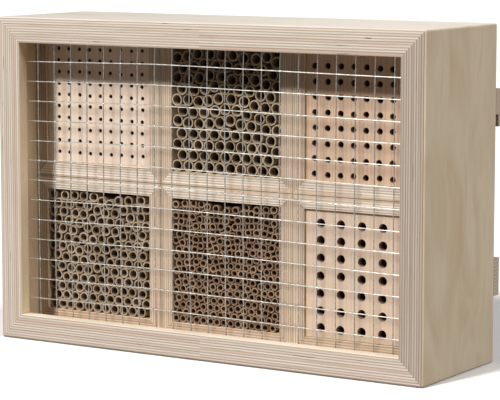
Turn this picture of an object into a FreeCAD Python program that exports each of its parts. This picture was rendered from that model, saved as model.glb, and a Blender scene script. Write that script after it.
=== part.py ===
import FreeCAD, Part
import math
import os
import random

# Insect hotel: a mitred plywood case with a wire guard, six inner boxes of drilled blocks and tubes,
# and two battens on the back that hang it on a wall. Millimetres.
# +X runs along the width, -Y is the open front, +Y the wall side, +Z is up.
# The origin is the middle of the underside of the whole object, battens included.

Vector = FreeCAD.Vector

# ---- case ----
CASE_WIDTH = 454.0
CASE_HEIGHT = 306.0
CASE_DEPTH = 135.0
BOARD = 24.0              # plywood thickness at the lip
LIP_DEPTH = 12.0          # how far the full thickness runs back from the front
REBATE = 12.0             # taken off the inside of the boards behind the lip
OUTER_ROUND = 2.5         # front edges and the four long corners
BACK_ROUND = 0.8
LIP_ROUND = 0.8
PANEL_THICK = 8.0
PANEL_GAP = 0.3           # between the back panel and the case, all round

# ---- battens ----
BATTEN_THICK = 10.0
BATTEN_HEIGHT = 34.0
RAIL_BOTTOM = 213.5
SPACER_BOTTOM = 61.0
HOOK_SLOT_WIDTH = 5.0     # measured out from the case back
HOOK_SLOT_HEIGHT = 11.0

# ---- wire guard ----
WIRE = 1.05
CELL = 19.05
LEVEL_WIRES = 15
UPRIGHT_WIRES = 23
FIRST_UPRIGHT_X = -209.4
FIRST_LEVEL_Z = 16.6
MESH_MARGIN = 0.5         # between the wire ends and the rebate
MESH_GAP = 0.1            # between the lip and the level wires

# ---- inner boxes ----
BOX_FRONT = 42.0          # from the case front to the box fronts
BOX_STRIP = 12.0
BOX_GAP = 0.6             # between neighbouring boxes
BOX_COLUMNS = {"left": -1, "middle": 0, "right": 1}
BOX_ROWS = {"lower": 0, "upper": 1}

# ---- fillings ----
BLOCK_GAP = 0.6           # between a block and its box, all round
BLOCK_RECESS = 2.5        # from the box front back to the block
BORE_DEPTH = 72.0
DRILL_POINT = 118.0       # degrees, the tip that a twist drill leaves
BORE_WANDER = 0.45        # hand drilling: how far a bore strays from its grid place

# Each block: bore diameter, columns, rows, pitch across and pitch up, then where the first bore is from the
# block's left edge and from its bottom.
BLOCKS = {
    "upper_left": (3.8, 9, 10, 12.06, 10.95, 12.6, 10.6),
    "upper_right": (5.8, 8, 8, 13.1, 13.8, 8.9, 6.1),
    "lower_right": (8.4, 5, 7, 21.0, 15.8, 15.2, 8.6),
}

# Each bundle: outer diameter, bore and the seed of its chance packing. Of the seeds tried, these leave the
# least room above the stack.
BUNDLES = {
    "upper_middle": (11.412, 9.0, 35),
    "lower_left": (10.107, 7.3, 1),
    "lower_middle": (7.403, 5.0, 38),
}
TUBE_SPREAD = 0.015       # the share by which tube diameters differ
TUBE_PLAY = 0.12          # free space left between tubes
TUBE_RECESS = (1.0, 2.6)  # least and most from the box front back to a tube's mouth
TOUCH = 1e-6              # how far two tubes may overlap and still count as touching

# ---- fixings ----
STAPLE_WIRE = 1.2
STAPLE_CROWN = 10.0
STAPLE_LEG = 8.0
STAPLED_UPRIGHTS = (2, 6, 11, 16, 20)    # which upright wires are stapled at the top and the bottom
STAPLED_LEVELS = (2, 7, 12)              # which level wires are stapled at both sides
STAPLE_TOP = 6.5          # from the opening's edge out to the staple, at the top
STAPLE_BOTTOM = 3.0       # the same at the bottom
STAPLE_SIDE = 3.2         # and at the sides
BATTEN_SCREW = (4.0, 8.0, 40.0)    # shank, head and length
BOX_SCREW = (3.5, 7.0, 30.0)
SCREW_TIP = 0.2           # radius of a screw's blunted point
SOCKET_SIZE = 0.42        # the socket's share of the head's radius
SOCKET_DEPTH = 0.8        # the socket's share of the head's depth

# ---- modelling ----
PAST = 1.0                # how far a cutting shape runs past what it cuts
FAR_PAST = 5.0            # the same for the large cuts in the case
NEAR = 0.01               # how close a point must be to count as lying in a plane

# ---- worked out ----
FRONT_Y = -(CASE_DEPTH + BATTEN_THICK) / 2
LIP_BACK_Y = FRONT_Y + LIP_DEPTH
BOX_FRONT_Y = FRONT_Y + BOX_FRONT
CASE_BACK_Y = FRONT_Y + CASE_DEPTH
PANEL_FRONT_Y = CASE_BACK_Y - PANEL_THICK
BACK_Y = CASE_BACK_Y + BATTEN_THICK
WALL = BOARD - REBATE
BAY_WIDTH = (CASE_WIDTH - 2 * WALL) / len(BOX_COLUMNS)
BAY_HEIGHT = (CASE_HEIGHT - 2 * WALL) / len(BOX_ROWS)
BOX_WIDTH = BAY_WIDTH - BOX_GAP
BOX_HEIGHT = BAY_HEIGHT - BOX_GAP
BOX_INNER_WIDTH = BOX_WIDTH - 2 * BOX_STRIP
BOX_INNER_HEIGHT = BOX_HEIGHT - 2 * BOX_STRIP


def block(x_range, y_range, z_range):
    """A rectangular solid between three pairs of limits."""
    size = [high - low for low, high in (x_range, y_range, z_range)]
    return Part.makeBox(*size, Vector(x_range[0], y_range[0], z_range[0]))


def centred_block(x, z, width, height, y_range):
    """A rectangular solid whose width and height are centred on x and z."""
    return block((x - width / 2, x + width / 2), y_range, (z - height / 2, z + height / 2))


def prism(points, y_range):
    """A solid with the outline of points (x, z), running from one y to the other."""
    corners = [Vector(x, y_range[0], z) for x, z in points]
    outline = Part.makePolygon(corners + corners[:1])
    return Part.Face(outline).extrude(Vector(0, y_range[1] - y_range[0], 0))


def mitre_wedges(x, z, width, height, thick, y_range):
    """The four wedges that part a frame into its mitred sides. Their sloping faces are the 45 degree cuts."""
    corners = ((-1, -1), (1, -1), (1, 1), (-1, 1))
    over = thick
    deep = 2 * thick
    outer = [(sx * (width / 2 + over), sz * (height / 2 + over)) for sx, sz in corners]
    inner = [(sx * (width / 2 - deep), sz * (height / 2 - deep)) for sx, sz in corners]
    sides = {"bottom": (0, 1), "right": (1, 2), "top": (2, 3), "left": (3, 0)}
    wedges = {}
    for side, (a, b) in sides.items():
        outline = [outer[a], outer[b], inner[b], inner[a]]
        wedges[side] = prism([(x + px, z + pz) for px, pz in outline], y_range)
    return wedges


def edges_where(shape, test):
    """The edges whose two ends both pass a test."""
    return [edge for edge in shape.Edges if all(test(vertex.Point) for vertex in edge.Vertexes)]


def make_case():
    """The four case boards: a rounded block, opened and rebated, then parted at the mitres."""
    case = block((-CASE_WIDTH / 2, CASE_WIDTH / 2), (FRONT_Y, CASE_BACK_Y), (0, CASE_HEIGHT))
    front = edges_where(case, lambda p: abs(p.y - FRONT_Y) < NEAR)
    corners = [edge for edge in case.Edges if abs(edge.tangentAt(edge.FirstParameter).y) > 0.9]
    case = case.makeFillet(OUTER_ROUND, front + corners)
    back = [edge for edge in case.Edges if abs(edge.BoundBox.YMin - CASE_BACK_Y) < NEAR]
    case = case.makeFillet(BACK_ROUND, back)

    middle = CASE_HEIGHT / 2
    through_lip = (FRONT_Y - FAR_PAST, LIP_BACK_Y + FAR_PAST)
    opening = centred_block(0, middle, CASE_WIDTH - 2 * BOARD, CASE_HEIGHT - 2 * BOARD, through_lip)
    behind_lip = (LIP_BACK_Y, CASE_BACK_Y + FAR_PAST)
    rebate = centred_block(0, middle, CASE_WIDTH - 2 * WALL, CASE_HEIGHT - 2 * WALL, behind_lip)
    case = case.cut(opening).cut(rebate)
    inside = CASE_WIDTH / 2 - BOARD + NEAR
    lip = edges_where(case, lambda p: abs(p.y - FRONT_Y) < NEAR and abs(p.x) < inside)
    case = case.makeFillet(LIP_ROUND, lip)
    through_case = (FRONT_Y - FAR_PAST, CASE_BACK_Y + FAR_PAST)
    wedges = mitre_wedges(0, middle, CASE_WIDTH, CASE_HEIGHT, BOARD, through_case)
    return {f"case_{side}_board": case.common(wedge) for side, wedge in wedges.items()}


def make_back_panel():
    """The flat panel that fills the back of the rebate, behind the boxes."""
    width = CASE_WIDTH - 2 * WALL - 2 * PANEL_GAP
    height = CASE_HEIGHT - 2 * WALL - 2 * PANEL_GAP
    return centred_block(0, CASE_HEIGHT / 2, width, height, (PANEL_FRONT_Y, CASE_BACK_Y))


def make_batten(bottom):
    """A plain batten across the full width of the back."""
    half = CASE_WIDTH / 2
    return block((-half, half), (CASE_BACK_Y, BACK_Y), (bottom, bottom + BATTEN_HEIGHT))


def make_hanging_rail():
    """The upper batten, with the slot that hooks over a wall cleat cut up into its lower edge."""
    half = CASE_WIDTH / 2
    slot = block(
        (-half - PAST, half + PAST),
        (CASE_BACK_Y - PAST, CASE_BACK_Y + HOOK_SLOT_WIDTH),
        (RAIL_BOTTOM - PAST, RAIL_BOTTOM + HOOK_SLOT_HEIGHT),
    )
    return make_batten(RAIL_BOTTOM).cut(slot)


def wire_places():
    """The x of each upright wire and the z of each level one."""
    upright = [FIRST_UPRIGHT_X + CELL * i for i in range(UPRIGHT_WIRES)]
    level = [FIRST_LEVEL_Z + CELL * i for i in range(LEVEL_WIRES)]
    return upright, level


def make_mesh():
    """Level wires against the lip and upright wires behind them, each a straight round rod."""
    upright, level = wire_places()
    level_y = LIP_BACK_Y + MESH_GAP + WIRE / 2
    upright_y = level_y + WIRE
    long_run = CASE_WIDTH - 2 * WALL - 2 * MESH_MARGIN
    tall_run = CASE_HEIGHT - 2 * WALL - 2 * MESH_MARGIN
    left = -long_run / 2
    foot = WALL + MESH_MARGIN
    to_right = Vector(1, 0, 0)
    upward = Vector(0, 0, 1)
    across = [Part.makeCylinder(WIRE / 2, long_run, Vector(left, level_y, z), to_right) for z in level]
    up = [Part.makeCylinder(WIRE / 2, tall_run, Vector(x, upright_y, foot), upward) for x in upright]
    return Part.makeCompound(across), Part.makeCompound(up)


def make_staple(x, z, wire_back_y, along):
    """One staple: a crown behind a wire, along one direction, and two legs driven forward into the lip."""
    half_wire = STAPLE_WIRE / 2
    reach = STAPLE_CROWN / 2
    crown_y = (wire_back_y, wire_back_y + STAPLE_WIRE)
    side = Vector(along.z, 0, along.x)
    low = Vector(x, 0, z) - along * reach - side * half_wire
    high = Vector(x, 0, z) + along * reach + side * half_wire
    crown = block((low.x, high.x), crown_y, (low.z, high.z))
    legs = []
    for end in (-1, 1):
        foot = Vector(x, 0, z) + along * (end * (reach - half_wire))
        leg_y = (LIP_BACK_Y - STAPLE_LEG, crown_y[1])
        legs.append(centred_block(foot.x, foot.z, STAPLE_WIRE, STAPLE_WIRE, leg_y))
    return crown.multiFuse(legs).removeSplitter()


def make_staples():
    """Staples round the lip: each one straddles a wire where the mesh lies on the shoulder."""
    upright, level = wire_places()
    level_back = LIP_BACK_Y + MESH_GAP + WIRE
    upright_back = level_back + WIRE
    shoulder_top = CASE_HEIGHT - BOARD + STAPLE_TOP
    shoulder_bottom = BOARD - STAPLE_BOTTOM
    shoulder_side = CASE_WIDTH / 2 - BOARD + STAPLE_SIDE
    staples = []
    for index in STAPLED_UPRIGHTS:
        for z in (shoulder_bottom, shoulder_top):
            staples.append(make_staple(upright[index], z, upright_back, Vector(1, 0, 0)))
    for index in STAPLED_LEVELS:
        for x in (-shoulder_side, shoulder_side):
            staples.append(make_staple(x, level[index], level_back, Vector(0, 0, 1)))
    return staples


def bay_centre(row, column):
    """The x and z of the middle of one bay of the case."""
    x = BOX_COLUMNS[column] * BAY_WIDTH
    z = WALL + (BOX_ROWS[row] + 0.5) * BAY_HEIGHT
    return x, z


def make_box_sides(x, z):
    """The four mitred strips of one inner box."""
    through = (BOX_FRONT_Y - PAST, PANEL_FRONT_Y + PAST)
    outer = centred_block(x, z, BOX_WIDTH, BOX_HEIGHT, (BOX_FRONT_Y, PANEL_FRONT_Y))
    inner = centred_block(x, z, BOX_INNER_WIDTH, BOX_INNER_HEIGHT, through)
    frame = outer.cut(inner)
    wedges = mitre_wedges(x, z, BOX_WIDTH, BOX_HEIGHT, BOX_STRIP, through)
    return {side: frame.common(wedge) for side, wedge in wedges.items()}


def make_bore(x, z, diameter, mouth_y):
    """The space that a twist drill takes out: a round bore with a pointed end."""
    radius = diameter / 2
    tip = radius / math.tan(math.radians(DRILL_POINT / 2))
    into = Vector(0, 1, 0)
    shaft = Part.makeCylinder(radius, BORE_DEPTH + PAST, Vector(x, mouth_y - PAST, z), into)
    point = Part.makeCone(radius, 0, tip, Vector(x, mouth_y + BORE_DEPTH, z), into)
    return shaft.fuse(point).removeSplitter()


def make_drilled_block(x, z, layout, seed):
    """A solid wood block with a grid of blind bores, each a little off its place."""
    diameter, columns, rows, pitch_x, pitch_z, first_x, first_z = layout
    chance = random.Random(seed)
    width = BOX_INNER_WIDTH - 2 * BLOCK_GAP
    height = BOX_INNER_HEIGHT - 2 * BLOCK_GAP
    mouth_y = BOX_FRONT_Y + BLOCK_RECESS
    wood = centred_block(x, z, width, height, (mouth_y, PANEL_FRONT_Y))
    bores = []
    for row in range(rows):
        for column in range(columns):
            bore_x = x - width / 2 + first_x + pitch_x * column + chance.uniform(-1, 1) * BORE_WANDER
            bore_z = z - height / 2 + first_z + pitch_z * row + chance.uniform(-1, 1) * BORE_WANDER
            bores.append(make_bore(bore_x, bore_z, diameter, mouth_y))
    return wood.cut(Part.makeCompound(bores))


def resting_places(radius, near, width):
    """Where a disc could rest: on the floor, on a disc and a wall, or on two discs. Each is (x, z)."""
    places = [(radius, radius)]
    for x, z, other in near:
        if z < 1.5 * other:
            places.append((x + 2 * math.sqrt(other * radius), radius))
        for wall_x in (radius, width - radius):
            rise = (other + radius) ** 2 - (wall_x - x) ** 2
            if rise > 0:
                places.append((wall_x, z + math.sqrt(rise)))
    for i, (xa, za, ra) in enumerate(near):
        for xb, zb, rb in near[i + 1 :]:
            apart = math.hypot(xb - xa, zb - za)
            reach_a = ra + radius
            reach_b = rb + radius
            if abs(reach_a - reach_b) < apart < reach_a + reach_b:
                along = (apart**2 + reach_a**2 - reach_b**2) / (2 * apart)
                rise = math.sqrt(reach_a**2 - along**2)
                ux = (xb - xa) / apart
                uz = (zb - za) / apart
                turn = 1 if ux >= 0 else -1
                places.append((xa + along * ux - turn * rise * uz, za + along * uz + turn * rise * ux))
    return places


def pack_tubes(width, height, diameter, seed):
    """Drop tubes into a bay one by one, each into the lowest free place. Returns (x, z, radius) of each."""
    chance = random.Random(seed)
    look_back = int(4 * width / diameter)
    placed = []
    while True:
        radius = diameter / 2 * (1 + chance.uniform(-TUBE_SPREAD, TUBE_SPREAD)) + TUBE_PLAY / 2
        near = placed[-look_back:]
        free = []
        for x, z in resting_places(radius, near, width):
            inside_x = radius - TOUCH <= x <= width - radius + TOUCH
            inside_z = radius - TOUCH <= z <= height - radius
            clear = all(math.hypot(x - a, z - b) > radius + r - TOUCH for a, b, r in placed)
            if inside_x and inside_z and clear:
                free.append((z, x))
        if not free:
            return [(x, z, radius - TUBE_PLAY / 2) for x, z, radius in placed]
        z, x = min(free)
        placed.append((x, z, radius))


def make_tubes(x, z, outer, bore, seed):
    """A bundle of open tubes, stacked loose in one inner box."""
    chance = random.Random(seed + 1)
    tubes = []
    for place_x, place_z, radius in pack_tubes(BOX_INNER_WIDTH, BOX_INNER_HEIGHT, outer, seed):
        mouth_y = BOX_FRONT_Y + chance.uniform(*TUBE_RECESS)
        foot = Vector(x - BOX_INNER_WIDTH / 2 + place_x, mouth_y, z - BOX_INNER_HEIGHT / 2 + place_z)
        length = PANEL_FRONT_Y - mouth_y
        into = Vector(0, 1, 0)
        hole = Part.makeCylinder(bore / 2, length + 2 * PAST, foot - into * PAST, into)
        tubes.append(Part.makeCylinder(radius, length, foot, into).cut(hole))
    print("tubes", outer, len(tubes))
    return Part.makeCompound(tubes)


def make_screw(x, z, head_y, kind):
    """A countersunk wood screw driven forward from head_y, with a pointed end and a six-sided socket."""
    shank, head, length = kind
    forward = Vector(0, -1, 0)
    head_deep = (head - shank) / 2
    tip = shank
    cone = Part.makeCone(head / 2, shank / 2, head_deep, Vector(x, head_y, z), forward)
    rod = Part.makeCylinder(shank / 2, length - head_deep - tip, Vector(x, head_y - head_deep, z), forward)
    point = Part.makeCone(shank / 2, SCREW_TIP, tip, Vector(x, head_y - length + tip, z), forward)
    across = SOCKET_SIZE * head / 2
    turns = [math.radians(60 * k) for k in range(6)]
    ring = [(x + across * math.cos(turn), z + across * math.sin(turn)) for turn in turns]
    socket = prism(ring, (head_y - SOCKET_DEPTH * head_deep, head_y + PAST))
    return cone.multiFuse([rod, point]).removeSplitter().cut(socket)


def make_batten_screws(z):
    """Two screws into the case sides and two through the panel into the sides of the middle boxes."""
    case_side = (CASE_WIDTH - WALL) / 2
    box_side = (BOX_WIDTH - BOX_STRIP) / 2
    return [make_screw(x, z, BACK_Y, BATTEN_SCREW) for x in (-case_side, -box_side, box_side, case_side)]


def make_box_screws():
    """Two screws through the back panel into the top and the bottom strip of each box."""
    screws = []
    reach = (BOX_HEIGHT - BOX_STRIP) / 2
    for row in BOX_ROWS:
        for column in BOX_COLUMNS:
            x, z = bay_centre(row, column)
            for way in (-1, 1):
                screws.append(make_screw(x, z + way * reach, CASE_BACK_Y, BOX_SCREW))
    return screws


def drive(parts, fixings):
    """Cut each fixing's own hole in every part it passes through. Wood left inside a socket is dropped."""
    for name, shape in parts.items():
        through = [fixing for fixing in fixings if fixing.BoundBox.intersect(shape.BoundBox)]
        if through:
            cut = shape.cut(Part.makeCompound(through))
            parts[name] = max(cut.Solids, key=lambda solid: solid.Volume)


def build():
    """Every node of the object by name."""
    parts = make_case()
    parts["back_panel"] = make_back_panel()
    parts["hanging_rail"] = make_hanging_rail()
    parts["spacer_batten"] = make_batten(SPACER_BOTTOM)
    for row in BOX_ROWS:
        for column in BOX_COLUMNS:
            for side, strip in make_box_sides(*bay_centre(row, column)).items():
                parts[f"{row}_{column}_box_{side}"] = strip

    slot_top = RAIL_BOTTOM + HOOK_SLOT_HEIGHT
    rail_screws = make_batten_screws((slot_top + RAIL_BOTTOM + BATTEN_HEIGHT) / 2)
    spacer_screws = make_batten_screws(SPACER_BOTTOM + BATTEN_HEIGHT / 2)
    box_screws = make_box_screws()
    staples = make_staples()
    drive(parts, rail_screws + spacer_screws + box_screws + staples)

    parts["mesh_level_wires"], parts["mesh_upright_wires"] = make_mesh()
    parts["mesh_staples"] = Part.makeCompound(staples)
    parts["hanging_rail_screws"] = Part.makeCompound(rail_screws)
    parts["spacer_batten_screws"] = Part.makeCompound(spacer_screws)
    parts["box_screws"] = Part.makeCompound(box_screws)
    for seed, (place, layout) in enumerate(BLOCKS.items()):
        parts[f"{place}_drilled_block"] = make_drilled_block(*bay_centre(*place.split("_")), layout, seed)
    for place, (outer, bore, seed) in BUNDLES.items():
        parts[f"{place}_tubes"] = make_tubes(*bay_centre(*place.split("_")), outer, bore, seed)
    return parts


os.makedirs("parts", exist_ok=True)
for node, shape in build().items():
    shape.exportStep(f"parts/{node}.step")
    print(node, "solids", len(shape.Solids), "volume", round(shape.Volume / 1000, 2), "cm3", shape.isValid())
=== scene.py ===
# %% [markdown]
# # An insect hotel in plywood, wire and nesting tubes
# The real object is a mitred plywood case that hangs on a wall. Six plywood boxes stand in it, three with bundles
# of tubes and three with drilled blocks, and a welded wire mesh keeps birds away from them.
# The CAD model already holds every board, batten and screw at its true size. This script gives them their
# finishes, and makes again the pieces whose charm is in their small irregularities: the hand-cut boards, the
# slightly wavy wires and the tubes. Everything is in metres, in the CAD model's own frame.

# %% Load the frame
import math

import bmesh
import bpy
import numpy as np
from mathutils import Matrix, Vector


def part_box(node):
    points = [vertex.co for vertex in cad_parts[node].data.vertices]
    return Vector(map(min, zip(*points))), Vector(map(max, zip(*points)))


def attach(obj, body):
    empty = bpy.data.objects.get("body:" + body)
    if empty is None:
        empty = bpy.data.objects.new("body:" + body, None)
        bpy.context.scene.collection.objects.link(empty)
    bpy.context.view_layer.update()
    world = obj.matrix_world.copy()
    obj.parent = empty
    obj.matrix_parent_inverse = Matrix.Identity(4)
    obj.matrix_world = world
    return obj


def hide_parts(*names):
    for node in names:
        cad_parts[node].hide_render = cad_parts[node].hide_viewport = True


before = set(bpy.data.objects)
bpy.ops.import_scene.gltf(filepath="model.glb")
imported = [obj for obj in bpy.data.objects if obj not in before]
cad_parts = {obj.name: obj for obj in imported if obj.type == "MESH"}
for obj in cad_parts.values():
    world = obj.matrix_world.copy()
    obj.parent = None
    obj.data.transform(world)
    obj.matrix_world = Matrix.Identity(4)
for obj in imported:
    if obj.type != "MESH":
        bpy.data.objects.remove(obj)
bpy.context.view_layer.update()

MM = 0.001
dice = np.random.default_rng(11)

# %% [markdown]
# ## Camera
# A product is often pictured with a long lens from a few steps away, so that level edges stay nearly level. The
# camera stands to the right of the case and a little above it, turned 32.1 degrees and tipped down 7.2 degrees.

# %% Camera
CAMERA_PLACE = (1.1251, -1.7786, 0.4053)
CAMERA_TURN = 32.14
CAMERA_TIP = 7.20
LENS = 165.3

camera_data = bpy.data.cameras.new("camera")
camera_data.sensor_width = 36.0
camera_data.lens = LENS
camera_data.clip_end = 200.0
camera = bpy.data.objects.new("camera", camera_data)
camera.location = CAMERA_PLACE
camera.rotation_euler = (math.radians(90.0 - CAMERA_TIP), 0.0, math.radians(CAMERA_TURN))
bpy.context.scene.collection.objects.link(camera)
bpy.context.scene.camera = camera
print("camera at", CAMERA_PLACE)

# %% [markdown]
# ## Helpers for finishes
# Every material is a small tree of nodes. One function turns the hex colour of a swatch into the linear numbers
# that the renderer counts in, and one adds a node, sets it and links it, so a finish reads as a list of steps.

# %% Helpers for finishes
def linear(swatch):
    """Linear colour of an sRGB hex swatch: each channel c is c/12.92 where dark, else ((c+0.055)/1.055)^2.4."""
    channels = [int(swatch[i:i + 2], 16) / 255.0 for i in (1, 3, 5)]
    return [c / 12.92 if c <= 0.04045 else ((c + 0.055) / 1.055) ** 2.4 for c in channels] + [1.0]


def add(tree, kind, inputs=None, stops=None, **settings):
    """Add one shader node: settings are its own properties, inputs are values or sockets, stops fill a ramp."""
    made = tree.nodes.new("ShaderNode" + kind)
    for name, value in settings.items():
        setattr(made, name, value)
    for key, value in (inputs or {}).items():
        if isinstance(value, bpy.types.NodeSocket):
            tree.links.new(value, made.inputs[key])
        else:
            made.inputs[key].default_value = value
    if stops:
        elements = made.color_ramp.elements
        while len(elements) < len(stops):
            elements.new(0.5)
        for element, (position, swatch) in zip(elements, stops):
            element.position = position
            element.color = linear(swatch)
    return made


def finish(name, roughness, **sockets):
    """A new material with its Principled shader, whose constant values are set on the shader's own sockets."""
    material = bpy.data.materials.new(name)
    material.use_nodes = True
    shader = material.node_tree.nodes["Principled BSDF"]
    shader.inputs["Roughness"].default_value = roughness
    for key, value in sockets.items():
        shader.inputs[key.replace("_", " ")].default_value = value
    return material, material.node_tree, shader


# %% [markdown]
# ## Plywood
# Plywood is a stack of thin rotary-cut veneers, each glued with its grain across the one before. On an edge the
# plies that run along it look pale and streaky, the plies cut across look darker and porous, and the glue between
# them is a thin brown line. It could be painted as stripes, but then every edge would need its own map. Instead
# the colour is worked out from the depth below the outer face, so one recipe gives the face figure, the striped
# edges and the stripes that turn the corner at a mitre, as in a real board.
#
# A ply of this birch board is about 1.2 mm. Grain streaks are 1 to 2 mm wide and some 70 mm long. To the eye this
# gives pale bands of uneven tone on the edges, and a soft cloudy figure on the faces.

# %% Plywood
ALONG_SHARE = 0.64                # share of a pair of plies that runs along the edge
GLUE_SHARE = 0.05                 # share of a pair that one side of a glue line takes
EDGE_WEAR, FACE_WEAR = 0.5, 0.16  # how dark the grain's streaks are on a sawn edge and on a sanded face
STREAK_ACROSS, STREAK_ALONG = 700.0, 14.0      # noise cells per metre, for streaks 1 to 2 mm by 70 mm
FIGURE_ACROSS, FIGURE_ALONG = 26.0, 8.0        # the same for the figure, about 40 by 120 mm
GAP_ACROSS, GAP_THROUGH = 38.0, 800.0          # the same for core gaps, about 25 by 1 mm
PLY_WAVES = 22.0                  # the same for the veneers' waves, about 45 mm
WAVE_PLIES = 0.5                  # how many plies a wave lifts
STREAK_LOW, STREAK_HIGH = 0.5, 0.8             # noise values where a streak starts to show and is full
RELIEF = 0.2 * MM                 # depth of the raised grain


def plywood(name, stack, shift, half_span, ply, grain, cells, face, inner_face, along, across, glue):
    """Birch plywood whose plies are stacked along one axis.

    stack: the axis (0, 1, 2) through the plies; the depth below the outer face is the ping-pong of
    (coordinate + shift) over half_span, so both boards of a pair count inwards from their outer faces.
    ply: its thickness. grain: axis of the face veneer's grain. cells: sizes that tell one board from the next.
    face, inner_face: tones of the outer veneer and of a surface level with it deeper in, such as the board's inside.
    along, across: tones of the plies that run along an edge and of those cut across. glue: glue lines and streaks.
    """
    material, tree, shader = finish(name, 0.62, IOR=1.5)
    place = add(tree, "TexCoord").outputs["Object"]
    axes = add(tree, "SeparateXYZ", {"Vector": place})

    # depth below the outer face in plies, with a slow wave because veneers aren't dead flat
    wave = add(tree, "TexNoise", {"Vector": place, "Scale": PLY_WAVES, "Detail": 2.0})
    moved = add(tree, "Math", {0: axes.outputs[stack], 1: shift}, operation="ADD")
    depth = add(tree, "Math", {0: moved.outputs[0], 1: half_span}, operation="PINGPONG")
    plies = add(tree, "Math", {0: depth.outputs[0], 1: ply}, operation="DIVIDE")
    waved = add(tree, "Math", {0: wave.outputs[0], 1: WAVE_PLIES, 2: plies.outputs[0]},
                operation="MULTIPLY_ADD")
    pair = add(tree, "Math", {0: waved.outputs[0], 1: 2.0}, operation="DIVIDE")
    place_in_pair = add(tree, "Math", {0: pair.outputs[0]}, operation="FRACT")
    crossed = add(tree, "Math", {0: place_in_pair.outputs[0], 1: ALONG_SHARE}, operation="GREATER_THAN")
    pair_number = add(tree, "Math", {0: pair.outputs[0]}, operation="FLOOR")
    index = add(tree, "Math", {0: pair_number.outputs[0], 1: 2.0, 2: crossed.outputs[0]},
                operation="MULTIPLY_ADD")

    # one random number for each ply of each board, so that no two plies have the same tone
    board = add(tree, "VectorMath", {0: place, 1: cells}, operation="DIVIDE")
    board = add(tree, "VectorMath", {0: board.outputs[0]}, operation="FLOOR")
    key = add(tree, "VectorMath", {0: board.outputs[0], 1: index.outputs[0]}, operation="ADD")
    luck = add(tree, "TexWhiteNoise", {"Vector": key.outputs[0]})

    # grain: the same noise stretched along the veneer, and turned a quarter in every second ply
    depth_axis = ({0, 1, 2} - {stack, grain}).pop()
    long_scale = [STREAK_ACROSS] * 3
    long_scale[grain] = STREAK_ALONG
    cross_scale = [STREAK_ACROSS] * 3
    cross_scale[depth_axis] = STREAK_ALONG
    scale = add(tree, "Mix", {"Factor": crossed.outputs[0], "A": long_scale, "B": cross_scale},
                data_type="VECTOR")
    streak_place = add(tree, "VectorMath", {0: place, 1: scale.outputs["Result"]}, operation="MULTIPLY")
    streaks = add(tree, "TexNoise", {"Vector": streak_place.outputs[0], "Scale": 1.0, "Detail": 3.0,
                                     "Roughness": 0.6})

    # broad figure of the rotary cut, only slightly stretched along the grain
    figure_scale = [FIGURE_ACROSS] * 3
    figure_scale[grain] = FIGURE_ALONG
    figure_place = add(tree, "VectorMath", {0: place, 1: figure_scale}, operation="MULTIPLY")
    figure = add(tree, "TexNoise", {"Vector": figure_place.outputs[0], "Scale": 1.0, "Detail": 5.0,
                                    "Distortion": 1.2})

    # the outermost ply is the face; a surface level with the plies but deeper in is an inner face
    tone_face = add(tree, "ValToRGB", {0: figure.outputs[0]}, stops=face)
    tone_along = add(tree, "ValToRGB", {0: luck.outputs[0]}, stops=along)
    tone_across = add(tree, "ValToRGB", {0: luck.outputs[0]}, stops=across)
    tone_inner = add(tree, "ValToRGB", {0: figure.outputs[0]}, stops=inner_face)
    is_face = add(tree, "Math", {0: index.outputs[0], 1: 0.5}, operation="LESS_THAN")
    turned = add(tree, "SeparateXYZ", {"Vector": add(tree, "NewGeometry").outputs["Normal"]})
    flat = add(tree, "Math", {0: turned.outputs[stack]}, operation="ABSOLUTE")
    inner = add(tree, "Math", {0: flat.outputs[0], 1: is_face.outputs[0]}, operation="SUBTRACT")
    is_inner = add(tree, "Math", {0: inner.outputs[0], 1: 0.9}, operation="GREATER_THAN")
    edge = add(tree, "Mix", {"Factor": crossed.outputs[0], "A": tone_along.outputs[0],
                             "B": tone_across.outputs[0]}, data_type="RGBA")
    ground = add(tree, "Mix", {"Factor": is_face.outputs[0], "A": edge.outputs["Result"],
                               "B": tone_face.outputs[0]}, data_type="RGBA")
    ground = add(tree, "Mix", {"Factor": is_inner.outputs[0], "A": ground.outputs["Result"],
                               "B": tone_inner.outputs[0]}, data_type="RGBA")
    wear = add(tree, "Math", {0: flat.outputs[0], 1: FACE_WEAR - EDGE_WEAR, 2: EDGE_WEAR},
               operation="MULTIPLY_ADD")
    dark = add(tree, "MapRange", {"Value": streaks.outputs[0], "From Min": STREAK_LOW, "From Max": STREAK_HIGH,
                                  "To Max": wear.outputs[0]})
    grained = add(tree, "Mix", {"Factor": dark.outputs[0], "A": ground.outputs["Result"], "B": linear(glue)},
                  data_type="RGBA")

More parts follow.
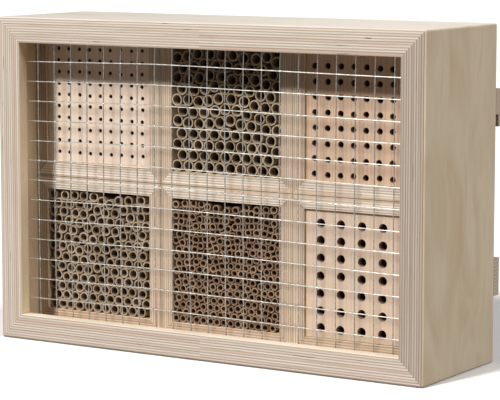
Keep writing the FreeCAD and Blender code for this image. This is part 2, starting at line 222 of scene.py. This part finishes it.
    # glue lines, and voids: short gaps in the core plies where two veneers did not meet, painted dark brown as the
    # shade inside such a gap, which is not cut into the board's shape
    line = add(tree, "ValToRGB", {0: place_in_pair.outputs[0]},
               stops=[(0.0, "#ffffff"), (GLUE_SHARE, "#000000"), (ALONG_SHARE - GLUE_SHARE, "#000000"),
                      (ALONG_SHARE, "#ffffff"), (ALONG_SHARE + GLUE_SHARE, "#000000"),
                      (1.0 - GLUE_SHARE, "#000000"), (1.0, "#ffffff")])
    not_face = add(tree, "Math", {0: line.outputs[0], 1: is_face.outputs[0]}, operation="SUBTRACT",
                   use_clamp=True)
    glued = add(tree, "Mix", {"Factor": not_face.outputs[0], "A": grained.outputs["Result"], "B": linear(glue)},
                data_type="RGBA")
    gap_scale = [GAP_ACROSS] * 3
    gap_scale[stack] = GAP_THROUGH
    gap_place = add(tree, "VectorMath", {0: place, 1: gap_scale}, operation="MULTIPLY")
    gaps = add(tree, "TexNoise", {"Vector": gap_place.outputs[0], "Scale": 1.0, "Detail": 0.0})
    gap = add(tree, "MapRange", {"Value": gaps.outputs[0], "From Min": 0.79, "From Max": 0.82})
    in_core = add(tree, "Math", {0: gap.outputs[0], 1: crossed.outputs[0]}, operation="MULTIPLY")
    colour = add(tree, "Mix", {"Factor": in_core.outputs[0], "A": glued.outputs["Result"],
                               "B": linear("#3d2a1e")}, data_type="RGBA")
    tree.links.new(colour.outputs["Result"], shader.inputs["Base Color"])

    relief = add(tree, "Math", {0: streaks.outputs[0], 1: not_face.outputs[0]}, operation="SUBTRACT")
    bump = add(tree, "Bump", {"Height": relief.outputs[0], "Strength": 0.35, "Distance": RELIEF})
    tree.links.new(bump.outputs[0], shader.inputs["Normal"])
    return material


SIDE_FACE = [(0.30, "#bfab8b"), (0.45, "#c8b79b"), (0.60, "#cfbfa6"), (0.75, "#c2ae8e")]
INNER_FACE = [(0.30, "#d9bf9a"), (0.45, "#e2cba9"), (0.60, "#e7d4b5"), (0.75, "#d3b58f")]
LIP_FACE = [(0.30, "#dccbb2"), (0.45, "#e3d5bf"), (0.60, "#e7dbc8"), (0.75, "#d8c4a8")]
TOP_FACE = [(0.30, "#c6bbac"), (0.45, "#d0c7bb"), (0.60, "#d3cbc1"), (0.75, "#c9beb0")]
CASE_ALONG = [(0.0, "#ded4c8"), (0.6, "#d9cdbf"), (0.85, "#d3c2b2"), (1.0, "#cbb1a0")]
CASE_ACROSS = [(0.0, "#bfaf9f"), (0.5, "#b5a392"), (1.0, "#a8927f")]
GREY_ALONG = [(0.0, "#bfb4a7"), (0.6, "#baad9e"), (0.85, "#b3a393"), (1.0, "#a99485")]
GREY_ACROSS = [(0.0, "#a19284"), (0.5, "#968676"), (1.0, "#897766")]
BOX_ALONG = [(0.0, "#f5ede1"), (0.6, "#f0e5d6"), (0.85, "#e9d6c4"), (1.0, "#ddc3b0")]
BOX_ACROSS = [(0.0, "#d4c2ae"), (0.5, "#cab59f"), (1.0, "#bba28b")]
TAN_ALONG = [(0.0, "#d6c5b1"), (0.6, "#d2bfa9"), (0.85, "#cbb39c"), (1.0, "#c2a28b")]
TAN_ACROSS = [(0.0, "#bba58f"), (0.5, "#b19984"), (1.0, "#a48a73")]
LOW_ALONG = [(0.0, "#cdb9a3"), (0.6, "#c8b29a"), (0.85, "#c1a68d"), (1.0, "#b7977e")]
LOW_ACROSS = [(0.0, "#b19a84"), (0.5, "#a68e77"), (1.0, "#967c66")]
CASE_GLUE, GREY_GLUE, BOX_GLUE, LOW_GLUE, TAN_GLUE = "#8f745c", "#7c6653", "#a3866a", "#8a6f57", "#967a60"

# a board's thickness over its plies; 0.3 of a ply is for the veneers' wave, which adds a quarter on average
CASE_PLY = 24.0 / 20.3 * MM
BOX_PLY = 12.0 / 10.3 * MM
PANEL_PLY = 8.0 / 6.3 * MM
FAR = 1000.0                                   # a cell so large that it parts nothing
BAY_X, BAY_Z = 143.333 * MM, 70.5 * MM         # a box's full width, and half its height
HALF_WIDTH, HALF_HEIGHT = 227 * MM, 153 * MM   # of the case
WALL = 12 * MM                                 # the case's board behind the lip, where the boxes start
PANEL_FRONT = 54.5 * MM                        # where the back panel starts

case_level = plywood("birch_plywood_case_level", 2, 0.0, HALF_HEIGHT, CASE_PLY, 0, (FAR, FAR, HALF_HEIGHT),
                     TOP_FACE, LIP_FACE, CASE_ALONG, CASE_ACROSS, CASE_GLUE)
case_left = plywood("birch_plywood_case_left", 0, HALF_WIDTH, HALF_WIDTH, CASE_PLY, 2,
                    (HALF_WIDTH, FAR, FAR), SIDE_FACE, INNER_FACE, CASE_ALONG, CASE_ACROSS, CASE_GLUE)
case_right = plywood("birch_plywood_case_right", 0, HALF_WIDTH, HALF_WIDTH, CASE_PLY, 2,
                     (HALF_WIDTH, FAR, FAR), SIDE_FACE, INNER_FACE, GREY_ALONG, GREY_ACROSS, GREY_GLUE)
box_level = plywood("birch_plywood_box_level", 2, -WALL, BAY_Z, BOX_PLY, 0, (BAY_X, FAR, BAY_Z),
                    SIDE_FACE, INNER_FACE, BOX_ALONG, BOX_ACROSS, BOX_GLUE)
box_lowest = plywood("birch_plywood_box_lowest", 2, -WALL, BAY_Z, BOX_PLY, 0, (BAY_X, FAR, BAY_Z),
                     SIDE_FACE, INNER_FACE, LOW_ALONG, LOW_ACROSS, LOW_GLUE)
box_upright = plywood("birch_plywood_box_upright", 0, 215 * MM, BAY_X / 2, BOX_PLY, 2,
                      (BAY_X / 2, FAR, 2 * BAY_Z), SIDE_FACE, INNER_FACE, TAN_ALONG, TAN_ACROSS, TAN_GLUE)
panel_ply = plywood("birch_plywood_back_panel", 1, -PANEL_FRONT, 0.5, PANEL_PLY, 0, (FAR, FAR, FAR),
                    SIDE_FACE, INNER_FACE, BOX_ALONG, BOX_ACROSS, BOX_GLUE)
print("plywood finishes: 7, plies of", round(CASE_PLY / MM, 2), "and", round(BOX_PLY / MM, 2), "mm")


# %% [markdown]
# ## Solid wood
# The drilled blocks are planed and the battens sawn from solid timber. Timber is a stack of year rings round a
# pith, so the colour comes from the distance to a pith line that runs along the grain somewhere outside the
# piece. Cut lengthwise the rings show as long streaks, and on the end grain as arcs. The walls of the bores get
# painted shade that deepens inwards.

# %% Solid wood
BLOCK_FACE = -28 * MM                    # where the drilled blocks' front faces lie
SQUEEZE = 0.04                           # rings bend 25 times more slowly along the grain than across it
RING_BEND, RING_BEND_SIZE = 3.0, 30.0    # how many rings a bend moves them, and its noise cells per metre
FIBRE_ACROSS, FIBRE_ALONG = 900.0, 20.0  # noise cells per metre, for fibres about 1 mm by 50 mm; real
                                         # ones are finer, but would be too fine to show


def timber(name, grain, pith, ring, early, late, roughness=0.6, fleck=0.3, darkens=8 * MM):
    """Solid wood: year rings of one width round a pith line along the grain axis, with long fibre streaks.

    pith: a point that the pith line goes through. ring: width of a year ring. early, late: its two tones.
    fleck: how dark the fibres are. Where the piece's own attribute "bore" is one, the wall gets painted shade
    that deepens from the block's front inwards, full from the depth darkens. A piece without that attribute reads it
    as nought.
    """
    material, tree, shader = finish(name, roughness, IOR=1.5)
    place = add(tree, "TexCoord").outputs["Object"]
    flat = [1.0, 1.0, 1.0]
    flat[grain] = SQUEEZE
    squeezed = add(tree, "Mapping", {"Vector": place, "Scale": flat})
    bent = add(tree, "TexNoise", {"Vector": squeezed.outputs[0], "Scale": RING_BEND_SIZE, "Detail": 2.0})
    centred = add(tree, "VectorMath", {0: squeezed.outputs[0], 1: pith}, operation="SUBTRACT")
    reach = add(tree, "VectorMath", {0: centred.outputs[0]}, operation="LENGTH")
    rings = add(tree, "Math", {0: reach.outputs["Value"], 1: ring}, operation="DIVIDE")
    rings = add(tree, "Math", {0: bent.outputs[0], 1: RING_BEND, 2: rings.outputs[0]}, operation="MULTIPLY_ADD")
    part = add(tree, "Math", {0: rings.outputs[0]}, operation="FRACT")
    year = add(tree, "ValToRGB", {0: part.outputs[0]},
               stops=[(0.0, early), (0.55, early), (0.9, late), (1.0, early)])
    fibre_scale = [FIBRE_ACROSS] * 3
    fibre_scale[grain] = FIBRE_ALONG
    fibre_place = add(tree, "VectorMath", {0: place, 1: fibre_scale}, operation="MULTIPLY")
    fibres = add(tree, "TexNoise", {"Vector": fibre_place.outputs[0], "Scale": 1.0, "Detail": 3.0})
    dark = add(tree, "MapRange", {"Value": fibres.outputs[0], "From Min": STREAK_LOW, "From Max": STREAK_HIGH,
                                  "To Max": fleck})
    colour = add(tree, "Mix", {"Factor": dark.outputs[0], "A": year.outputs[0], "B": linear(late)},
                 data_type="RGBA")
    axes = add(tree, "SeparateXYZ", {"Vector": place})
    # painted shade in the bores, deepening from the block's front towards dark brown
    deep = add(tree, "MapRange", {"Value": axes.outputs[1], "From Min": BLOCK_FACE,
                                  "From Max": BLOCK_FACE + darkens, "To Min": 0.1, "To Max": 1.0})
    bore = add(tree, "Attribute", attribute_name="bore")
    painted_bore_shade = add(tree, "Math", {0: deep.outputs[0], 1: bore.outputs["Fac"]}, operation="MULTIPLY")
    colour = add(tree, "Mix", {"Factor": painted_bore_shade.outputs[0], "A": colour.outputs["Result"],
                               "B": linear("#43291b")}, data_type="RGBA")
    tree.links.new(colour.outputs["Result"], shader.inputs["Base Color"])
    bump = add(tree, "Bump", {"Height": fibres.outputs[0], "Strength": 0.4, "Distance": RELIEF})
    tree.links.new(bump.outputs[0], shader.inputs["Normal"])
    return material


pale_block = timber("planed_alder_pale", 2, (-0.05, 0.09, 0.0), 2.6 * MM, "#e5d1be", "#e0c9b4", fleck=0.15,
                    darkens=2.5 * MM)
streaky_block = timber("planed_alder_streaky", 2, (0.20, 0.02, 0.0), 3.1 * MM, "#cdb197", "#c19d82", fleck=0.4,
                       darkens=5 * MM)
warm_block = timber("planed_alder_warm", 2, (0.05, 0.10, 0.0), 3.0 * MM, "#d2bca7", "#cbb09a")
batten_wood = timber("sawn_spruce", 0, (0.0, 0.02, 0.30), 3.2 * MM, "#bfae9a", "#a08c77", roughness=0.75)
print("timber finishes: 4")


# %% [markdown]
# ## Metal
# The mesh is drawn steel wire, welded and then hot-dip galvanised: a bright grey skin with soft cloudy patches.
# The upright wires take a darker copy of the same zinc, as painted shade for the highlight they catch less of.
# The screws and staples are zinc plated, smoother and a little warmer.

# %% Metal
WIRE_CLOUD, SCREW_CLOUD = 350.0, 500.0         # noise cells per metre, for patches of about 3 and 2 mm


def zinc(name, bright, dull, low, high, scale):
    """Zinc on steel: a cloudy mix of a bright and a dull tone that also moves the roughness from low to high."""
    material, tree, shader = finish(name, low, Metallic=1.0)
    place = add(tree, "TexCoord").outputs["Object"]
    cloud = add(tree, "TexNoise", {"Vector": place, "Scale": scale, "Detail": 4.0})
    colour = add(tree, "ValToRGB", {0: cloud.outputs[0]}, stops=[(0.35, dull), (0.65, bright)])
    tree.links.new(colour.outputs[0], shader.inputs["Base Color"])
    rough = add(tree, "MapRange", {"Value": cloud.outputs[0], "To Min": low, "To Max": high})
    tree.links.new(rough.outputs[0], shader.inputs["Roughness"])
    return material


wire_zinc = zinc("hot_dip_galvanised_wire", "#dcdad2", "#b4b3ad", 0.28, 0.38, WIRE_CLOUD)
# painted shade: the same zinc, darker, for the upright wires
wire_zinc_painted_shade = zinc("hot_dip_galvanised_wire_painted_shade", "#bab9b5", "#8f8e8a", 0.28, 0.38, WIRE_CLOUD)
screw_zinc = zinc("zinc_plated_steel", "#d9d6cb", "#b3afa3", 0.22, 0.42, SCREW_CLOUD)
print("metal finishes: 3")

# %% [markdown]
# ## Tube board
# The nesting tubes are wound from brown board and cut to length. Each tube has its own tone, which is stored on
# the mesh as an attribute and read here, and the cut fibres give a fine speckle. The bores, and the outsides
# where the tubes crowd together, get painted shade that deepens inwards.

# %% Tube board
# painted shade: from where to where it deepens along a tube
TUBE_MOUTH, TUBE_DARK = -26 * MM, -14 * MM     # from where to where a bore's wall goes dark
SPECKLE = 900.0   # noise cells per metre, about 1 mm: real cut fibres are finer, but would be too fine to show


def wound_board(name, light, dark, bore):
    """Wound board, speckled by its cut fibres.

    Two attributes of the piece are read: tone mixes light and dark, and inner says how much painted shade a face
    takes as it goes in, towards the colour bore, which also darkens the speckle.
    """
    material, tree, shader = finish(name, 0.8, IOR=1.45)
    place = add(tree, "TexCoord").outputs["Object"]
    tone = add(tree, "Attribute", attribute_name="tone")
    colour = add(tree, "Mix", {"Factor": tone.outputs["Fac"], "A": linear(light), "B": linear(dark)},
                 data_type="RGBA")
    speckle = add(tree, "TexNoise", {"Vector": place, "Scale": SPECKLE, "Detail": 3.0})
    spots = add(tree, "MapRange", {"Value": speckle.outputs[0], "From Min": 0.45, "From Max": 0.75,
                                   "To Max": 0.45})
    mixed = add(tree, "Mix", {"Factor": spots.outputs[0], "A": colour.outputs["Result"], "B": linear(bore)},
                data_type="RGBA")
    inner = add(tree, "Attribute", attribute_name="inner")
    axes = add(tree, "SeparateXYZ", {"Vector": place})
    # painted shade, deepening from the mouth inwards
    deep = add(tree, "MapRange", {"Value": axes.outputs[1], "From Min": TUBE_MOUTH, "From Max": TUBE_DARK,
                                  "To Min": 0.2, "To Max": 1.0})
    painted_tube_shade = add(tree, "Math", {0: inner.outputs["Fac"], 1: deep.outputs[0]}, operation="MULTIPLY")
    result = add(tree, "Mix", {"Factor": painted_tube_shade.outputs[0], "A": mixed.outputs["Result"],
                               "B": linear(bore)}, data_type="RGBA")
    tree.links.new(result.outputs["Result"], shader.inputs["Base Color"])
    bump = add(tree, "Bump", {"Height": speckle.outputs[0], "Strength": 0.5, "Distance": RELIEF})
    tree.links.new(bump.outputs[0], shader.inputs["Normal"])
    return material


# the last colour darkens the fibre speckle, and is the painted shade in the bores and between the tubes
board_wide = wound_board("wound_board_wide_tubes", "#c3b098", "#a69378", "#2e2119")
board_medium = wound_board("wound_board_medium_tubes", "#baa690", "#9e8970", "#2b1f17")
board_narrow = wound_board("wound_board_narrow_tubes", "#a5886f", "#856b54", "#291c14")
print("board finishes: 3")


# %% [markdown]
# ## From arrays to a piece
# The new pieces are grids of points, worked out for all wires or tubes at once. This cell turns such an array
# into one mesh object and hides the CAD node it stands for.

# %% From arrays to a piece
def piece(name, points, faces, material, node, slot, sharp=40.0, **attributes):
    """Make a mesh object from an (n, 3) array and a list of faces, and hide the CAD node it stands for.

    Edges sharper than the angle stay crisp. attributes hold one number for each face, which its material reads.
    """
    mesh = bpy.data.meshes.new(name)
    mesh.from_pydata(points, [], faces)
    for key, values in attributes.items():
        made = mesh.attributes.new(key, "FLOAT", "FACE")
        made.data.foreach_set("value", np.asarray(values, dtype=np.float32))
    mesh.shade_smooth()
    mesh.set_sharp_from_angle(angle=math.radians(sharp))
    mesh.materials.append(material)
    made = bpy.data.objects.new(name, mesh)
    bpy.context.scene.collection.objects.link(made)
    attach(made, "root")
    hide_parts(node)
    print(name, "points", len(points), "faces", len(faces))


def grid_faces(strips, rows, columns, ring_rows=False):
    """Quads of many grids at once: each grid has rows of a closed ring of columns; rows may close too."""
    last = rows if ring_rows else rows - 1
    strip, row, column = np.meshgrid(np.arange(strips), np.arange(last), np.arange(columns), indexing="ij")
    here = strip * rows * columns

    def at(r, c):
        return here + (r % rows) * columns + c % columns

    quads = np.stack([at(row, column), at(row, column + 1), at(row + 1, column + 1), at(row + 1, column)],
                     axis=-1)
    return quads.reshape(-1, 4).tolist()


# %% [markdown]
# ## Boards and blocks with soft edges
# A CAD solid arrives as loose flat triangles, so a rounded edge shows its facets. The boards, blocks, battens
# and screws keep their CAD shape, but as a joined copy whose gentle bends are shaded smooth.

# %% Boards and blocks with soft edges
SAME_PLACE = 1e-6      # corners closer than this are one corner
NEAR_EDGE = 0.5 * MM   # how far in from a block's outside a face has to be to lie inside it


def joined_copy(node, material, sharp=32.0):
    """A copy of a CAD node with its doubled corners merged, smooth where neighbours meet below the angle."""
    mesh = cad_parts[node].data.copy()
    work = bmesh.new()
    work.from_mesh(mesh)
    bmesh.ops.remove_doubles(work, verts=work.verts, dist=SAME_PLACE)
    work.to_mesh(mesh)
    work.free()
    if "custom_normal" in mesh.attributes:
        mesh.attributes.remove(mesh.attributes["custom_normal"])
    mesh.name = node + "_finished"
    mesh.shade_smooth()
    mesh.set_sharp_from_angle(angle=math.radians(sharp))
    mesh.materials.clear()
    mesh.materials.append(material)
    made = bpy.data.objects.new(mesh.name, mesh)
    bpy.context.scene.collection.objects.link(made)
    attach(made, "root")
    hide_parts(node)
    return made


for side, board in (("top", case_level), ("bottom", case_level), ("left", case_left), ("right", case_right)):
    joined_copy("case_" + side + "_board", board)


def mark_bores(block):
    """Give each face of a block 1 where it is in a bore, to get painted shade: not on the front, nor on the
    four sides.

    The back face gets 1 as well, which no one sees behind the panel.
    """
    mesh = block.data
    normals = np.empty(len(mesh.polygons) * 3)
    centres = np.empty(len(mesh.polygons) * 3)
    mesh.polygons.foreach_get("normal", normals)
    mesh.polygons.foreach_get("center", centres)
    normals, centres = normals.reshape(-1, 3), centres.reshape(-1, 3)
    low, high = centres.min(axis=0), centres.max(axis=0)
    inside = ((centres > low + NEAR_EDGE) & (centres < high - NEAR_EDGE))[:, [0, 2]].all(axis=1)
    front = (normals[:, 1] < -0.9) & (centres[:, 1] < low[1] + NEAR_EDGE)
    made = mesh.attributes.new("bore", "FLOAT", "FACE")
    made.data.foreach_set("value", (inside & ~front).astype(np.float32))


for place, wood in (("upper_left", pale_block), ("upper_right", streaky_block), ("lower_right", warm_block)):
    mark_bores(joined_copy(place + "_drilled_block", wood))
for batten in ("hanging_rail", "spacer_batten"):
    joined_copy(batten, batten_wood)
for screws in ("hanging_rail_screws", "spacer_batten_screws", "box_screws"):
    joined_copy(screws, screw_zinc)
print("joined copies made")

# %% [markdown]
# The box strips, the back panel and the staples have no soft edges to show, so they stay as CAD nodes and only
# get their finish.

# %% Finishes on the CAD nodes that stay
for name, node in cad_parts.items():
    if "_box_" in name and not name.endswith("screws"):
        level = name.endswith("top") or name.endswith("bottom")
        lowest = name.startswith("lower") and name.endswith("bottom")
        wood = box_lowest if lowest else box_level if level else box_upright
        node.material_slots[0].material = wood
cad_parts["back_panel"].material_slots[0].material = panel_ply
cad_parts["mesh_staples"].material_slots[0].material = screw_zinc

# %% [markdown]
# ## The wire mesh
# Welded mesh comes off a roll, so a cut sheet is never quite flat: it bulges a little, its wires wander by half
# a millimetre, and each weld is a small swelling. Both sets of wires share one field of small shifts, so they
# still touch at every weld. The level wires lie in front.

# %% The wire mesh
WIRE = 1.05 * MM
CELL = 19.05 * MM
FIRST_LEVEL, LEVELS = 16.6 * MM, 15
FIRST_UPRIGHT, UPRIGHTS = -209.4 * MM, 23
WELD_SWELL, WELD_REACH = 0.08, 1.0 * MM        # share by which a weld is thicker, and how far along it is
WIRE_SIDES = 8
STATIONS_PER_CELL = 5
STATION_GAP = 1.2 * MM                         # least space between even stations and a weld's own

waves = [(dice.uniform(4, 26, 2), dice.uniform(0, 2 * math.pi, 2), dice.uniform(0.4, 1.0)) for _ in range(18)]


def wander(x, z, first):
    """A smooth random field: six products of sines of x and z, scaled to stay near -1 to 1."""
    total = sum(size * np.sin(rate[0] * x + turn[0]) * np.sin(rate[1] * z + turn[1])
                for rate, turn, size in waves[first:first + 6])
    return total / 1.6


# the sheet was pulled askew as it was stapled: its level wires bow up to a crease, and slope a little
CREASE_X = -57 * MM
CREASE_ROUND = 0.05                            # how gently the bow turns at the crease
BOW = 3.0 * MM
SKEW = 2.0 * MM
CLOSER = 0.008                                 # share by which the level wires stand closer together
BULGE = 1.5 * MM
SIDE_BULGE = 0.3                               # share of the bulge by which the sheet also moves left
CORNER = 2.2 * MM                              # droop of the upper left corner
STRAY_X, STRAY_Y, STRAY_Z = 0.4 * MM, 0.8 * MM, 0.25 * MM
HALF_OPENING = 203 * MM
OPENING_LOW, OPENING_HIGH = 24 * MM, 282 * MM
END_FADE = 8 * MM


def shifted(x, y, z):
    """Places after the sheet's bulge and wandering, its bow, skew and drooping corner.

    The bulge is the root of sin(pi u) sin(pi v), with u and v counted across the opening, so it is nothing
    under the lip. The bow is BOW times 1.05 less the distance from the crease, as a share of the way to the
    case's side. Bow, skew and droop move wires up and down, and fade out at the sheet's upper and lower ends.
    """
    low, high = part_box("mesh_upright_wires")
    u = np.clip((x + HALF_OPENING) / (2 * HALF_OPENING), 0, 1)
    v = np.clip((z - OPENING_LOW) / (OPENING_HIGH - OPENING_LOW), 0, 1)
    free = np.sqrt(np.clip(np.sin(math.pi * u) * np.sin(math.pi * v), 0, 1))
    side = np.where(x < CREASE_X, (CREASE_X - x) / (CREASE_X + HALF_WIDTH),
                    (x - CREASE_X) / (HALF_WIDTH - CREASE_X))
    bow = BOW * (1.05 - np.hypot(side, CREASE_ROUND))
    askew = SKEW * (0.5 - x / (2 * HALF_WIDTH)) - CLOSER * (z - high[2] / 2)
    droop = -CORNER * (1 - u) * v ** 2
    ends = np.clip(np.minimum(z - low[2], high[2] - z) / END_FADE, 0, 1)
    return np.stack([x - BULGE * free * SIDE_BULGE + STRAY_X * wander(x, z, 0) * free,
                     y - BULGE * free + STRAY_Y * wander(x, z, 6) * free,
                     z + ends * (bow + askew + droop + STRAY_Z * wander(x, z, 12) * free)], axis=-1)


def wires(name, node, fixed, run, crossings, along, material):
    """Round wires side by side: rings of points carried along each centre line, with a flat cap at each end.

    The radius is half of WIRE, times 1 plus WELD_SWELL exp(-(distance to the nearest weld / WELD_REACH) squared).
    fixed: the wires' places across. run: the stations along them. crossings: the welds. along: the wires' axis.
    """
    low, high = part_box(node)
    y = np.full((len(fixed), len(run)), (low[1] + high[1]) / 2)
    across, length = np.meshgrid(fixed, run, indexing="ij")
    centre = shifted(length, y, across) if along == 0 else shifted(across, y, length)
    gap = np.abs(run[:, None] - crossings[None, :]).min(axis=1)
    radius = WIRE / 2 * (1 + WELD_SWELL * np.exp(-(gap / WELD_REACH) ** 2))
    first, second = (np.eye(3)[1], np.eye(3)[2]) if along == 0 else (np.eye(3)[0], np.eye(3)[1])
    turn = np.linspace(0, 2 * math.pi, WIRE_SIDES, endpoint=False)
    ring = np.cos(turn)[:, None] * first + np.sin(turn)[:, None] * second
    points = centre[:, :, None, :] + radius[None, :, None, None] * ring[None, None]
    faces = np.fliplr(grid_faces(len(fixed), len(run), WIRE_SIDES)).tolist()
    start = (np.arange(len(fixed)) * len(run) * WIRE_SIDES)[:, None] + np.arange(WIRE_SIDES)
    finish_row = start + (len(run) - 1) * WIRE_SIDES
    faces += start[:, ::-1].tolist() + finish_row.tolist()
    piece(name, points.reshape(-1, 3), faces, material, node, "galvanised_wire")


def stations(low, high, crossings):
    """Places along a wire: evenly spaced ones, and five close together at each weld."""
    even = np.linspace(low, high, int((high - low) / CELL * STATIONS_PER_CELL))
    near = (crossings[:, None] + np.array([-1.0, -0.5, 0.0, 0.5, 1.0]) * MM).ravel()
    near = near[(near > low) & (near < high)]
    clear = np.abs(even[:, None] - near[None, :]).min(axis=1) > STATION_GAP
    clear[[0, -1]] = True
    return np.unique(np.concatenate([even[clear], near]))


levels = FIRST_LEVEL + CELL * np.arange(LEVELS)
uprights = FIRST_UPRIGHT + CELL * np.arange(UPRIGHTS)
low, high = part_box("mesh_level_wires")
wires("wavy_level_wires", "mesh_level_wires", levels, stations(low[0], high[0], uprights), uprights, 0,
      wire_zinc)
low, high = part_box("mesh_upright_wires")
wires("wavy_upright_wires", "mesh_upright_wires", uprights, stations(low[2], high[2], levels), levels, 2,
      wire_zinc_painted_shade)

# %% [markdown]
# ## The nesting tubes
# A bundle holds a hundred tubes and more, so each is only four bands of faces round a ring: outside, cut mouth,
# bore and back. What makes a bundle look real is that no two tubes agree, so each gets its own tone, is a little
# oval, and is cut a little askew. The tubes' places are read from the CAD node, where each is a separate shell.

# %% Shells of a CAD node
def shells(node):
    """Lowest and highest corner of every loose part: corners that share a triangle take the lower label."""
    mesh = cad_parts[node].data
    points = np.empty(len(mesh.vertices) * 3)
    mesh.vertices.foreach_get("co", points)
    points = points.reshape(-1, 3)
    corners = np.empty(len(mesh.polygons) * 3, dtype=int)
    mesh.loops.foreach_get("vertex_index", corners)
    merged, same = np.unique(np.round(points / SAME_PLACE).astype(int), axis=0, return_inverse=True)
    triangles = same.ravel()[corners].reshape(-1, 3)
    label = np.arange(len(merged))
    while True:
        lowest = label[triangles].min(axis=1)
        after = label.copy()
        np.minimum.at(after, triangles.ravel(), np.repeat(lowest, 3))
        after = after[after]
        if (after == label).all():
            break
        label = after
    names, part = np.unique(label, return_inverse=True)
    low = np.full((len(names), 3), np.inf)
    high = np.full((len(names), 3), -np.inf)
    np.minimum.at(low, part, merged * SAME_PLACE)
    np.maximum.at(high, part, merged * SAME_PLACE)
    return low, high


# %% The nesting tubes
TUBE_SIDES = 16
OUTER_SHARE = 0.992                            # leaves an oval tube room among its neighbours
# painted shade of each band: the bore fully, the outside where the tubes crowd together in part
BAND_DARK = [0.45, 0.0, 1.0, 0.0]              # how much each band darkens inwards: outside, mouth, bore, back


def tubes(name, node, bore, material):
    """Open tubes: a ring of points carried round the profile outside back, mouth rim, bore rim, bore back.

    The radius is multiplied by 1 + a cos(2 (turn + b)) for the oval, and the mouth is moved by c cos(turn + d)
    for the slanted cut, with a, b, c and d drawn by chance for each tube.
    """
    low, high = shells(node)
    count = len(low)
    centre = (low + high) / 2
    outer = (high - low)[:, 0] / 2
    turn = np.linspace(0, 2 * math.pi, TUBE_SIDES, endpoint=False)
    oval = dice.uniform(0.0, 0.018, count)[:, None] * np.cos(2 * (turn + dice.uniform(0, 3.14, count)[:, None]))
    askew = dice.uniform(0.1, 0.45, count)[:, None] * MM * np.cos(turn + dice.uniform(0, 6.28, count)[:, None])
    wall = dice.uniform(0.94, 1.04, count)
    rows = []
    for radius, end in ((outer * OUTER_SHARE, "back"), (outer * OUTER_SHARE, "mouth"), (bore / 2 * wall, "mouth"),
                        (bore / 2 * wall, "back")):
        reach = radius[:, None] * (1 + oval)
        depth = np.broadcast_to(high[:, 1:2], reach.shape) if end == "back" else low[:, 1:2] + 0.3 * MM + askew
        rows.append(np.stack([centre[:, 0:1] + reach * np.cos(turn), depth,
                              centre[:, 2:3] + reach * np.sin(turn)], axis=-1))
    points = np.stack(rows, axis=1)
    tone = np.repeat(dice.uniform(0, 1, count), 4 * TUBE_SIDES)
    inner = np.tile(np.repeat(BAND_DARK, TUBE_SIDES), count)
    piece(name, points.reshape(-1, 3), grid_faces(count, 4, TUBE_SIDES, ring_rows=True), material, node,
          "tube_board", tone=tone, inner=inner)


tubes("wide_nesting_tubes", "upper_middle_tubes", 9.0 * MM, board_wide)
tubes("medium_nesting_tubes", "lower_left_tubes", 7.3 * MM, board_medium)
tubes("narrow_nesting_tubes", "lower_middle_tubes", 5.0 * MM, board_narrow)

# %% [markdown]
# ## Floor and light
# The case stands on a plain pale floor. A key light from the front, high and a little to the left, throws the
# lip's shadow into the case. A softer lamp from the right lights the side, and a weak one from behind the back.
# The light that a pale floor sends up would fill the case and wash that shadow out, so a studio lays black cloth
# just below the view. Here the floor is pale where it is seen, and dark for light that bounces off it.

# %% Floor and light
FLOOR = 60.0                                   # half the floor's width
NEUTRAL = (1.0, 0.99, 0.98)
WORLD_TONE, WORLD_STRENGTH = (1.0, 0.85, 0.72, 1.0), 0.035
floor_mesh = bpy.data.meshes.new("floor")
floor_mesh.from_pydata([(-FLOOR, -FLOOR, 0), (FLOOR, -FLOOR, 0), (FLOOR, FLOOR, 0), (-FLOOR, FLOOR, 0)], [],
                       [(0, 1, 2, 3)])
floor = bpy.data.objects.new("floor", floor_mesh)
bpy.context.scene.collection.objects.link(floor)
paper, paper_tree, paper_shader = finish("matt_white_paper", 0.9)
paper_place = add(paper_tree, "TexCoord").outputs["Object"]
paper_cloud = add(paper_tree, "TexNoise", {"Vector": paper_place, "Scale": 3.0})
paper_tone = add(paper_tree, "ValToRGB", {0: paper_cloud.outputs[0]},
                 stops=[(0.3, "#f5f5f6"), (0.7, "#f8f8f9")])
paper_ray = add(paper_tree, "LightPath")
paper_seen = add(paper_tree, "Mix", {"Factor": paper_ray.outputs["Is Diffuse Ray"], "A": paper_tone.outputs[0],
                                     "B": linear("#463d36")}, data_type="RGBA")
paper_tree.links.new(paper_seen.outputs["Result"], paper_shader.inputs["Base Color"])
floor_mesh.materials.append(paper)


def lamp(name, travel, energy, spread, tint):
    """A far, even lamp: its light travels along one direction, and its disc is spread degrees wide."""
    data = bpy.data.lights.new(name, "SUN")
    data.energy = energy
    data.angle = math.radians(spread)
    data.color = tint
    made = bpy.data.objects.new(name, data)
    made.rotation_euler = Vector(travel).to_track_quat("-Z", "Y").to_euler()
    bpy.context.scene.collection.objects.link(made)


lamp("key", (0.226, 1.0, -0.893), 4.0, 8.0, NEUTRAL)
lamp("side", (-1.0, 0.07, -0.7), 2.2, 36.0, NEUTRAL)
lamp("back", (0.3, -1.0, -0.2), 0.6, 30.0, NEUTRAL)

world = bpy.data.worlds.new("studio")
bpy.context.scene.world = world
world.use_nodes = True
world.node_tree.nodes["Background"].inputs["Color"].default_value = WORLD_TONE
world.node_tree.nodes["Background"].inputs["Strength"].default_value = WORLD_STRENGTH
bpy.context.scene.view_settings.view_transform = "Standard"
print("floor and light ready")
